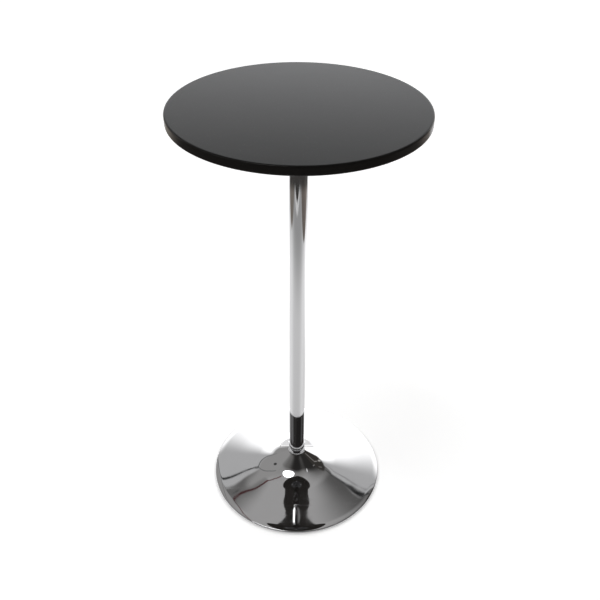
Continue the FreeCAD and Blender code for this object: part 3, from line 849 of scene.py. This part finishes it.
@dataclass
class Column:
    """The chromed tube, its collar and the rod that clamps the table together."""

    wall: float = 1.5 * MM
    end_ease: float = 0.3 * MM
    end_run: float = 0.7 * MM
    collar_step: float = 0.1 * MM
    collar_shoulder: float = 6.0 * MM
    collar_chamfer: float = 0.4 * MM
    around: int = 192
    runs: int = 12

    def build(self) -> None:
        """Makes the tube and its collar, and dresses the clamp."""
        self.make_tube()
        self.make_collar()
        dress_nodes(tie_rod=PLATED_STEEL, rod_lock_nut=PLATED_STEEL, rod_washer=PLATED_STEEL,
                    rod_spring_washer=PLATED_STEEL, rod_nut=PLATED_STEEL)

    def make_tube(self) -> None:
        """Extrudes a ring up the column, and gives it its wall and eased ends."""
        low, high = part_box("column_tube")
        Bench.clear()
        bpy.ops.mesh.primitive_circle_add(vertices=self.around, radius=high.x,
                                          location=(0.0, 0.0, low.z))
        bench = Bench("chromed_column")
        middle = [(high.z - low.z - 2 * self.end_run) / self.runs] * self.runs
        for rise in (self.end_run, *middle, self.end_run):
            bpy.ops.mesh.extrude_region_move(TRANSFORM_OT_translate={"value": (0.0, 0.0, rise)})
        bench.close_seams()
        bench.modifier("SOLIDIFY", thickness=self.wall, offset=-1.0, use_even_offset=True)
        bench.modifier("BEVEL", width=self.end_ease, segments=3, limit_method="ANGLE",
                       angle_limit=CORNER_ANGLE)
        bench.take(DRAWN_CHROME, Slot.CHROME, "column_tube")

    def make_collar(self) -> None:
        """Turns the collar: a swelling shoulder, a short band and a chamfer over the neck."""
        low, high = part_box("neck_collar")
        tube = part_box("column_tube")[1].x
        swell = high.x - tube - self.collar_step
        turn = 2 * math.degrees(math.atan2(swell, self.collar_shoulder))
        line = Outline(tube - self.wall, high.z, 0.0)
        line.out_to(tube + self.collar_step)
        line.slope = 90.0 - turn
        line.bend(self.collar_shoulder / math.sin(math.radians(turn)), 90.0, step=2.0)
        line.run(high.z - low.z - self.collar_shoulder - self.collar_chamfer)
        line.slope = 135.0
        line.run(self.collar_chamfer * math.sqrt(2))
        line.slope = 180.0
        line.run(line.reach - tube + self.wall)
        line.spin("neck_ring", self.around, closed=True).take(
            SATIN_CHROME, Slot.SATIN_CHROME, "neck_collar")


@dataclass
class TrumpetBase:
    """The spun shell with its rolled rim, and the pan, ballast and ring under it."""

    wall: float = 1.2 * MM
    neck_length: float = 9.2 * MM
    neck_bend: float = 7.0 * MM
    cone_slope: float = 32.5
    cone_width: float = 28.0 * MM
    flare_radius: float = 155.0 * MM
    flare_slope: float = 11.4
    apron_radius: float = 1040.0 * MM
    skirt_slope: float = 7.2
    shoulder_radius: float = 66.0 * MM
    shoulder_slope: float = 18.6
    nose_radius: float = 2.8 * MM
    hem_inner_radius: float = 0.4 * MM
    hem_width: float = 14.0 * MM
    neck_proud: float = 0.25 * MM
    ripple_height: float = 0.015 * MM
    ripple_pitch: float = 43.0 * MM
    ripple_pinch: float = 117.0 * MM
    ripple_from: float = 75.0 * MM
    ripple_to: float = 196.0 * MM
    around: int = 256

    def build(self) -> None:
        """Spins the shell, gives the sheet its thickness and dresses what it hides."""
        bench = self.section().spin("spun_base", self.around)
        bench.modifier("SOLIDIFY", thickness=self.wall, offset=-1.0, use_even_offset=True)
        bench.take(SPUN_CHROME, Slot.CHROME, "base_shell")
        dress_nodes(base_hub=PLATED_STEEL, base_pan=POWDER_COAT, ballast_ring=DIPPED_IRON,
                    ballast_screws=PLATED_STEEL, floor_ring=BLACK_RUBBER)

    def section(self) -> Outline:
        """Draws the shell from the top of its neck to the end of its hem.

        Returns:
            The outline of the shell's outer face.
        """
        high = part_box("base_shell")[1]
        hem = self.hem_inner_radius + self.wall
        line = Outline(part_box("column_tube")[1].x + self.neck_proud, high.z, 90.0)
        line.run(self.neck_length, cuts=3)
        line.bend(self.neck_bend, self.cone_slope, step=3.0)
        line.out_to(line.reach + self.cone_width, cuts=5)
        line.bend(self.flare_radius, self.flare_slope, step=0.5)
        line.bend(self.apron_radius, self.skirt_slope, step=0.3)
        rim = (line.bend_reach(self.shoulder_radius, self.skirt_slope, self.shoulder_slope)
               + line.bend_reach(self.nose_radius, self.shoulder_slope, 90.0))
        line.out_to(high.x - rim, cuts=4)
        line.bend(self.shoulder_radius, self.shoulder_slope, step=0.8)
        line.bend(self.nose_radius, 90.0, step=6.0)
        line.bend(hem, 180.0, step=10.0)
        line.run(self.hem_width - hem, cuts=3)
        line.points = [(reach, height + self.ripple(reach, height))
                       for reach, height in line.points]
        return line

    def ripple(self, reach: float, height: float) -> float:
        """Says how much the spinner's roller raised the sheet at one place.

        Args:
            reach: distance from the axis.
            height: height over the floor.

        Returns:
            The change of height, 0 on the neck, the rim and the hem.
        """
        inner, outer = self.ripple_from, self.ripple_to
        if not inner < reach < outer or height < 3 * self.wall:
            return 0.0
        fade = math.sin(math.pi * (reach - inner) / (outer - inner)) ** 0.5
        return self.ripple_height * fade * math.sin(
            FULL_TURN * (reach - self.ripple_pinch) / self.ripple_pitch)


# ---- The studio ----


class SkyMap(Effect):
    """Turns the direction of a ray into the flat map of the room."""

    title = "sky_map"
    takes = (Port("Direction", Kind.VECTOR),)
    gives = (Port("Across"), Port("Along"))

    @classmethod
    def wire(cls, graph: Graph, given: Sockets) -> Dict[str, Value]:
        """Keeps the heading and spreads the angle from overhead along it."""
        ray = graph.axes(given["Direction"])
        level = graph.sum(Sum.MAXIMUM, graph.reach(ray["X"], ray["Y"]), 0.0001)
        angle = graph.sum(Sum.TO_DEGREES, graph.sum(Sum.ANGLE_OF_COSINE, ray["Z"]))
        spread = graph.over(angle, level)
        return {"Across": graph.times(ray["X"], spread), "Along": graph.times(ray["Y"], spread)}


class RoomMask(Effect):
    """Says how far a place on the room's map is inside one piece of the room."""

    takes = (Port("Across"), Port("Along"), Port("Middle Across"), Port("Middle Along"),
             Port("Half Width", start=1.0), Port("Half Length", start=1.0), Port("Turn"),
             Port("Softness", start=1.0))
    gives = (Port("Mask"),)

    @classmethod
    def wire(cls, graph: Graph, given: Sockets) -> Dict[str, Value]:
        """Moves and turns the map so that it lies along the piece, and masks it there."""
        offset = graph.vector(graph.less(given["Across"], given["Middle Across"]),
                              graph.less(given["Along"], given["Middle Along"]))
        turned = graph.axes(graph.node("ShaderNodeVectorRotate", {
            "Vector": offset, "Angle": graph.times(given["Turn"], -math.radians(1.0))},
            rotation_type="Z_AXIS").outputs[0])
        return {"Mask": cls.cover(graph, given, turned["X"], turned["Y"])}

    @classmethod
    @abstractmethod
    def cover(cls, graph: Graph, given: Sockets, across: Value, along: Value) -> Value:
        """Masks one place.

        Args:
            graph: the group's graph.
            given: the group's inputs.
            across: how far across the piece the place is, in degrees.
            along: how far along the piece it is.

        Returns:
            The mask, 1 inside the piece.
        """


class SheetMask(RoomMask):
    """A square-cornered piece of the room."""

    title = "room_sheet"

    @classmethod
    def cover(cls, graph: Graph, given: Sockets, across: Value, along: Value) -> Value:
        """Keeps what is inside both half sizes."""
        return graph.times(*(
            graph.within(graph.sum(Sum.SIZE, place), given[half], given["Softness"])
            for place, half in ((across, "Half Width"), (along, "Half Length"))))


class LampMask(RoomMask):
    """An oval piece of the room."""

    title = "room_lamp"

    @classmethod
    def cover(cls, graph: Graph, given: Sockets, across: Value, along: Value) -> Value:
        """Keeps what is inside an oval."""
        away = graph.reach(graph.over(across, given["Half Width"]),
                           graph.over(along, given["Half Length"]))
        return graph.within(away, 1.0, graph.over(given["Softness"], given["Half Length"]))


class SideMask(RoomMask):
    """Everything on one side of a line, for walls and the dark front of the room."""

    title = "room_side"

    @classmethod
    def cover(cls, graph: Graph, given: Sockets, across: Value, along: Value) -> Value:
        """Keeps what is beyond the line, across the piece's own turn."""
        return graph.ease(across, graph.less(0.0, given["Softness"]), given["Softness"])


class Shape(Enum):
    """Shapes of the things that hang round the table in the studio."""

    SHEET = SheetMask
    LAMP = LampMask
    SIDE = SideMask


@dataclass(frozen=True)
class RoomPiece:
    """Something in the room, placed on a map of the sky seen from the base.

    The map is flat, in degrees from straight overhead: across is to the right and along
    is to the back, so the horizon is a circle 90 degrees from the middle.
    """

    title: str
    shape: Shape
    across: float
    along: float
    turn: float
    softness: float
    tone: Colour
    half_width: float = 1.0
    half_length: float = 1.0


def grey(tone: float, warm: float = 0.0) -> Colour:
    """Makes a near-neutral tone, with more red than blue by a share."""
    return (tone * (1 + warm / 2), tone, tone * (1 - warm / 2))


ROOM = tuple(RoomPiece(*row) for row in (
    ("left_wall", Shape.SIDE, -24.0, 0.0, 180.0, 9.0, grey(0.36, 0.03)),
    ("right_wall", Shape.SIDE, 27.0, 0.0, 0.0, 17.0, grey(0.04, 0.15)),
    ("corner_shade", Shape.LAMP, 17.5, 31.5, 0.0, 7.5, grey(0.12, 0.04), 9.5, 9.5),
    ("left_corner_shade", Shape.LAMP, -17.5, 31.5, 20.0, 4.0, grey(0.16, 0.04), 5.0, 5.5),
    ("ceiling_front", Shape.SIDE, 0.0, -9.0, -90.0, 7.0, grey(0.28, 0.05)),
    ("dark_front", Shape.SIDE, 0.0, -18.5, -90.0, 4.5, grey(0.025, 0.1)),
    ("dark_front_left", Shape.SIDE, -17.4, -23.0, -127.0, 8.0, grey(0.05, 0.1)),
    ("dark_front_right", Shape.SIDE, 22.5, -15.0, -34.0, 6.0, grey(0.03, 0.1)),
    ("paper_in_shade", Shape.SHEET, 11.0, 79.0, -5.0, 0.6, grey(0.57), 52.0, 47.0),
    ("paper_lit", Shape.SHEET, 21.0, 86.0, -12.8, 5.0, grey(1.75), 54.0, 43.0),
    ("paper_lit_low", Shape.SHEET, 2.0, 92.5, -4.0, 7.0, (4.15, 4.2, 4.3), 30.0, 20.0),
    ("paper_top_edge", Shape.SHEET, 0.6, 32.5, 0.0, 0.3, grey(0.035), 15.8, 0.45),
    ("right_corner", Shape.SHEET, 15.7, 32.0, -10.0, 0.3, grey(0.02), 1.1, 0.6),
    ("paper_top_right", Shape.SHEET, 23.5, 29.0, -21.0, 0.4, grey(0.07), 8.0, 0.5),
    ("paper_fold", Shape.SHEET, 26.0, 33.0, -5.0, 0.28, grey(0.33), 10.0, 0.3),
    ("wall_beside_paper", Shape.SHEET, -59.0, 40.0, 231.0, 1.6, grey(0.38, 0.03), 20.0, 40.0),
    ("paper_left_edge", Shape.SHEET, -28.2, 42.3, -39.0, 0.45, grey(0.11), 9.6, 0.55),
    ("paper_left_fold", Shape.SHEET, -42.9, 51.4, -23.6, 0.8, grey(0.2), 8.4, 0.9),
    ("left_corner", Shape.SHEET, -18.8, 37.2, -6.0, 0.25, grey(0.03), 2.3, 0.35),
    ("dark_behind_right", Shape.SHEET, 66.7, 23.4, -48.0, 1.8, grey(0.045, 0.2), 25.0, 27.0),
    ("right_gap_light", Shape.LAMP, 46.7, 33.0, 20.0, 0.9, grey(0.5, 0.1), 2.0, 3.6),
    ("right_shelf_light", Shape.SHEET, 38.5, 21.5, 35.0, 0.6, grey(0.16, 0.1), 1.0, 3.0),
    ("right_frame_light", Shape.SHEET, 50.0, 22.0, 12.0, 0.6, grey(0.3, 0.1), 1.0, 5.0),
    ("right_fleck_high", Shape.SHEET, 51.0, 43.0, 40.0, 0.5, grey(0.4, 0.05), 3.2, 1.0),
    ("right_fleck_low", Shape.SHEET, 43.5, 9.0, -25.0, 0.4, grey(0.25, 0.05), 0.8, 3.4),
    ("left_low_light", Shape.LAMP, -62.0, -18.0, 0.0, 9.0, grey(0.25), 16.0, 22.0),
    ("right_low_light", Shape.LAMP, 63.0, -14.0, 0.0, 8.0, grey(0.14), 12.0, 17.0),
    ("left_stand", Shape.LAMP, -43.9, 21.8, 0.0, 1.2, grey(0.07), 2.3, 4.0),
    ("left_cord_high", Shape.SHEET, -25.6, 29.9, -33.0, 0.4, grey(0.2), 0.5, 8.0),
    ("left_cord_low", Shape.SHEET, -31.9, 17.7, -18.0, 0.5, grey(0.2), 0.6, 5.8),
    ("cable_high", Shape.SHEET, -15.3, 28.6, -15.0, 0.2, (0.07, 0.022, 0.024), 0.32, 2.9),
    ("cable_middle", Shape.SHEET, -18.6, 20.7, -24.5, 0.3, (0.1, 0.03, 0.033), 0.45, 6.1),
    ("cable_low", Shape.SHEET, -21.9, 9.0, -9.0, 0.4, (0.12, 0.04, 0.042), 0.6, 6.4),
    ("softbox", Shape.LAMP, -16.6, -8.8, -31.0, 0.5, grey(6.0), 12.3, 6.0),
    ("second_lamp", Shape.LAMP, 26.3, -9.6, -43.0, 0.5, grey(1.0), 3.2, 1.3),
))


@dataclass(frozen=True)
class FloorArea:
    """Everything on the floor beyond one straight border, as the chrome mirrors it.

    The border is square to a heading in degrees from +X, at a reach in metres from the axis.
    """

    title: str
    heading: float
    reach: float
    softness: float
    colour: Colour


@dataclass
class Studio:
    """The pale floor, the room with its lamps that the chrome mirrors, and the camera."""

    camera_place: Tuple[float, float, float] = (0.0, -1.3563, 1.5387)
    camera_pitch: float = 36.14
    camera_yaw: float = 0.206
    camera_roll: float = 0.514
    focal_pixels: float = 750.0
    picture_pixels: float = 600.0
    sensor_width: float = 36.0
    floor_size: float = 16.0
    ceiling: Colour = grey(0.46, 0.02)
    pieces: Tuple[RoomPiece, ...] = ROOM
    floor_white: Colour = grey(0.88)
    # painted shade: the mirrored paper outside its pool of light
    floor_far_painted_shade: Colour = grey(0.46)
    floor_unlit: Colour = grey(0.05, 0.1)
    areas: Tuple[FloorArea, ...] = (
        FloorArea("paper_border", -105.6, 1.38, 0.03, grey(0.70)),
        FloorArea("dark_front", -105.6, 1.49, 0.03, grey(0.045, 0.1)),
        FloorArea("right_boards", -12.4, 1.16, 0.02, (0.155, 0.135, 0.12)),
        FloorArea("left_boards", 180.0, 1.27, 0.04, (0.20, 0.18, 0.16)),
    )
    lit_squash: float = 0.85
    lit_middle: float = 0.15
    lit_range: Pair = (0.75, 1.4)
    shade_heading: float = -100.0
    shade_range: Pair = (0.1, 0.95)
    shade_depth: float = 0.24
    unlit_range: Pair = (1.55, 1.67)
    unlit_front: Pair = (0.9, 1.3)
    floor_lift: float = 0.64
    # painted light: to every ray but the camera's the floor glows, as lit paper would, and the
    # glow is brighter behind the table
    mirror_lift: float = 0.68
    back_painted_glow: float = 1.3
    back_heading: float = 65.0
    back_range: Pair = (0.3, 0.75)
    # painted contact shadow: a darker ring on the floor just round the base's rim, as the camera
    # sees it
    contact_shadow_reach: float = 0.2152
    contact_shadow_width: float = 0.008
    contact_shadow_depth: float = 0.24

    def build(self) -> None:
        """Sets the view, hangs the room, lays the floor and stands the camera."""
        settings = bpy.context.scene.view_settings
        settings.view_transform = "Standard"
        settings.look = "None"
        self.hang_room()
        self.lay_floor()
        self.stand_camera()

    @staticmethod
    def to_camera(graph: Graph) -> Socket:
        """Returns 1 where the camera looks straight at the surface, and 0 in a mirror."""
        return graph.node("ShaderNodeLightPath").outputs["Is Camera Ray"]

    @staticmethod
    def along(graph: Graph, place: Sockets, heading: float) -> Value:
        """Measures how far a place on the floor is from the axis along a heading."""
        angle = math.radians(heading)
        return graph.weigh((place["X"], math.cos(angle)), (place["Y"], math.sin(angle)))

    def hang_room(self) -> None:
        """Paints the room as the world, plain white to the camera itself."""
        world = bpy.data.worlds.new("studio_room")
        world.use_nodes = True
        bpy.context.scene.world = world
        graph = Graph(world.node_tree)
        heading = graph.node("ShaderNodeTexCoord").outputs["Generated"]
        place = SkyMap.on(graph, Direction=heading)
        seen: Value = self.ceiling
        for piece in self.pieces:
            mask = piece.shape.value.on(
                graph, Across=place["Across"], Along=place["Along"],
                Middle_Across=piece.across, Middle_Along=piece.along,
                Half_Width=piece.half_width, Half_Length=piece.half_length,
                Turn=piece.turn, Softness=piece.softness)["Mask"]
            seen = graph.blend(mask, seen, piece.tone)
        room, plain = (graph.node("ShaderNodeBackground", {"Color": colour, "Strength": 1.0})
                       for colour in (seen, grey(1.0)))
        both = graph.node("ShaderNodeMixShader", {
            0: self.to_camera(graph), 1: room.outputs[0], 2: plain.outputs[0]})
        graph.node("ShaderNodeOutputWorld", {"Surface": both.outputs[0]})
        log.info("room: %d pieces", len(self.pieces))

    def lay_floor(self) -> None:
        """Lays a wide floor: plain white to the camera but for a painted contact shadow round the
        base, and paper and boards that glow to the mirrors, with painted light and shade on them.
        """
        Bench.clear()
        bpy.ops.mesh.primitive_plane_add(size=self.floor_size)
        floor = bpy.context.view_layer.objects.active
        floor.name = "floor"
        made = bpy.data.materials.new("paper_floor")
        made.use_nodes = True
        graph = Graph(made.node_tree)
        place = graph.axes(graph.place())
        reach = graph.reach(place["X"], place["Y"])
        camera = self.to_camera(graph)
        colour = graph.blend(camera, self.mirrored_floor(graph, place, reach), self.floor_white)
        # painted contact shadow: the floor's glow to the camera drops in a thin ring round the
        # rim
        painted_contact_shadow = graph.ease(reach, self.contact_shadow_reach + self.contact_shadow_width, self.contact_shadow_reach)
        seen = graph.span(painted_contact_shadow, self.floor_lift, self.floor_lift - self.contact_shadow_depth)
        # painted light: the floor's glow to mirrors and bounce light rises behind the table
        painted_glow_behind = graph.ease(self.along(graph, place, self.back_heading), *self.back_range)
        mirrored = graph.span(painted_glow_behind, self.mirror_lift, self.back_painted_glow)
        shade = graph.node("ShaderNodeBsdfDiffuse", {"Color": colour})
        lift = graph.node("ShaderNodeEmission", {
            "Color": graph.blend(camera, colour, grey(1.0)),
            "Strength": graph.add(graph.times(camera, seen),
                                  graph.times(graph.less(1.0, camera), mirrored))})
        both = graph.node("ShaderNodeAddShader", {0: shade.outputs[0], 1: lift.outputs[0]})
        graph.node("ShaderNodeOutputMaterial", {"Surface": both.outputs[0]})
        floor.data.materials.append(made)

    def mirrored_floor(self, graph: Graph, place: Sockets, reach: Value) -> Socket:
        """Colours the floor as the chrome mirrors it.

        Args:
            graph: the floor's graph.
            place: the place on the floor, by axis.
            reach: its distance from the column's axis.

        Returns:
            Paper with a painted pool of light that darkens outward, a painted shadow of the table
            toward the front and painted darkness far out, and the areas beyond its borders.
        """
        # painted pool of light: the paper darkens away from a middle a little behind the axis
        away = graph.reach(graph.times(place["X"], self.lit_squash),
                           graph.less(place["Y"], self.lit_middle))
        ahead = graph.over(self.along(graph, place, self.shade_heading),
                           graph.sum(Sum.MAXIMUM, reach, 0.01))
        seen = graph.blend(graph.ease(away, *self.lit_range), self.floor_white, self.floor_far_painted_shade)
        # painted shadow of the table on the mirrored floor, darkest toward the front
        seen = graph.layers(seen, (graph.ease(ahead, *self.shade_range), self.shade_depth,
                                   grey(0.0)))
        for area in self.areas:
            beyond = graph.ease(self.along(graph, place, area.heading),
                                area.reach - area.softness, area.reach + area.softness)
            seen = graph.blend(beyond, seen, area.colour)
        unlit = graph.times(graph.ease(reach, *self.unlit_range),
                            graph.less(1.0, graph.ease(place["Y"], *self.unlit_front)))
        return graph.blend(unlit, seen, self.floor_unlit)

    def stand_camera(self) -> None:
        """Stands the camera where it sees the table from above, a little rolled."""
        data = bpy.data.cameras.new("camera")
        data.sensor_width = self.sensor_width
        data.lens = self.focal_pixels * self.sensor_width / self.picture_pixels
        camera = bpy.data.objects.new("camera", data)
        turn = (Matrix.Rotation(-math.radians(self.camera_yaw), 4, "Z")
                @ Matrix.Rotation(math.radians(90.0 - self.camera_pitch), 4, "X")
                @ Matrix.Rotation(math.radians(self.camera_roll), 4, "Z"))
        camera.matrix_world = Matrix.Translation(self.camera_place) @ turn
        bpy.context.scene.collection.objects.link(camera)
        bpy.context.scene.camera = camera


def main() -> None:
    """Builds the table and the studio."""
    logging.basicConfig(level=logging.INFO, format="%(name)s: %(message)s")
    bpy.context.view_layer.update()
    for part in (TableTop(), Column(), TrumpetBase(), Studio()):
        part.build()
        log.info("%s is done", type(part).__name__)


if __name__ == "__main__":
    main()
